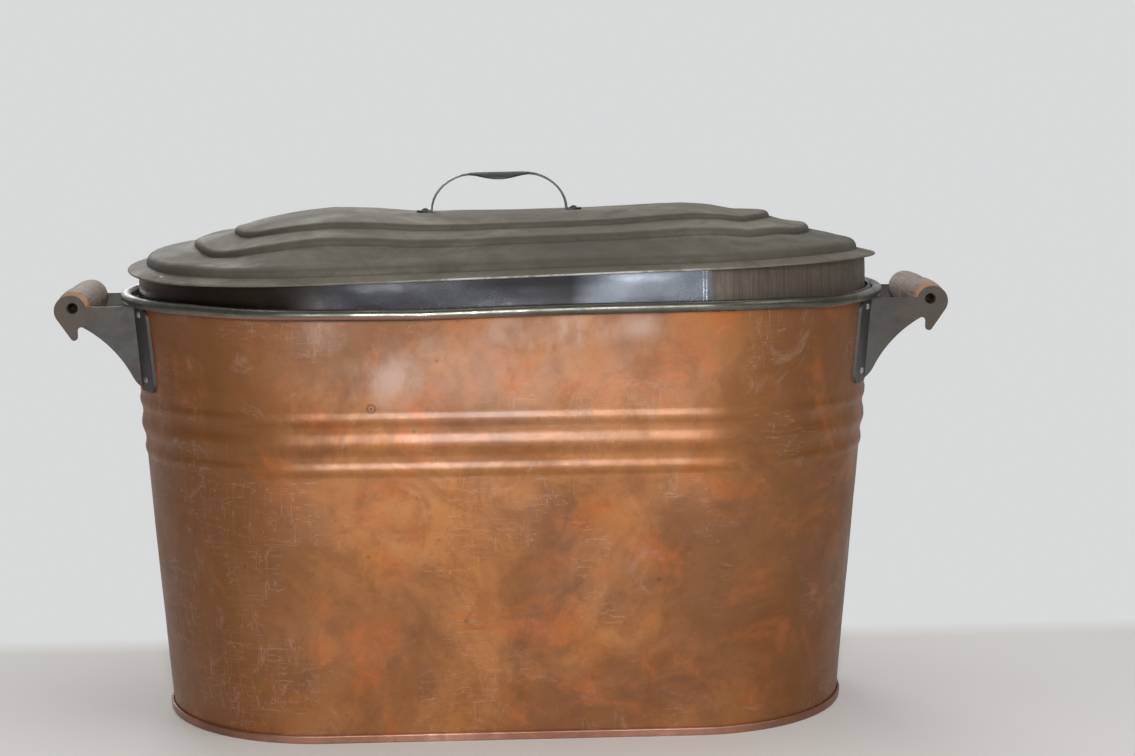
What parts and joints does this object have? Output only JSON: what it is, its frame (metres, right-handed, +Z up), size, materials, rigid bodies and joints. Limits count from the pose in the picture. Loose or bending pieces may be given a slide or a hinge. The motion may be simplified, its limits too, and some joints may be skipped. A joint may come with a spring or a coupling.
{
  "type": "wash boiler",
  "caption": "Oval copper wash boiler with a beaded, tapering body, bracketed wooden grips and a stepped, tinned lid set crooked in its mouth.",
  "frame": {"origin": "middle of the foot, on the surface that the boiler stands on", "axes": "+X along the length towards the right-hand grip, +Y towards the back, +Z up"},
  "size_m": [0.694, 0.32, 0.4258],
  "materials": {
    "copper": "weathered copper, brown and mottled",
    "rim_iron": "plain iron wire",
    "zinc": "dull, stained galvanised sheet",
    "tin": "dull, stained tinned sheet",
    "dark_iron": "dark, worn iron strap",
    "wood": "grey, weathered turned wood"
  },
  "bodies": {
    "boiler": {"body_front": "copper", "body_back": "copper", "bottom": "copper", "rim_wire": "rim_iron", "bracket_left_front": "zinc", "bracket_left_back": "zinc", "bracket_right_front": "zinc", "bracket_right_back": "zinc", "bracket_rivets": "zinc"},
    "lid": {"lid_cover": "tin", "lid_skirt_left": "tin", "lid_skirt_right": "tin", "lid_handle": "dark_iron", "lid_rivets": "dark_iron"},
    "left_grip": {"grip_left": "wood"},
    "right_grip": {"grip_right": "wood"}
  },
  "joints": [
    {"name": "lid_lift", "type": "slide", "parent": "boiler", "child": "lid", "axis": [0, 0, 1], "range_m": [0, 0.15]},
    {"name": "left_grip_spin", "type": "hinge", "parent": "boiler", "child": "left_grip", "pos_m": [-0.333, 0, 0.3262], "axis": [0, 1, 0], "continuous": true},
    {"name": "right_grip_spin", "type": "hinge", "parent": "boiler", "child": "right_grip", "pos_m": [0.333, 0, 0.3262], "axis": [0, 1, 0], "continuous": true}
  ]
}
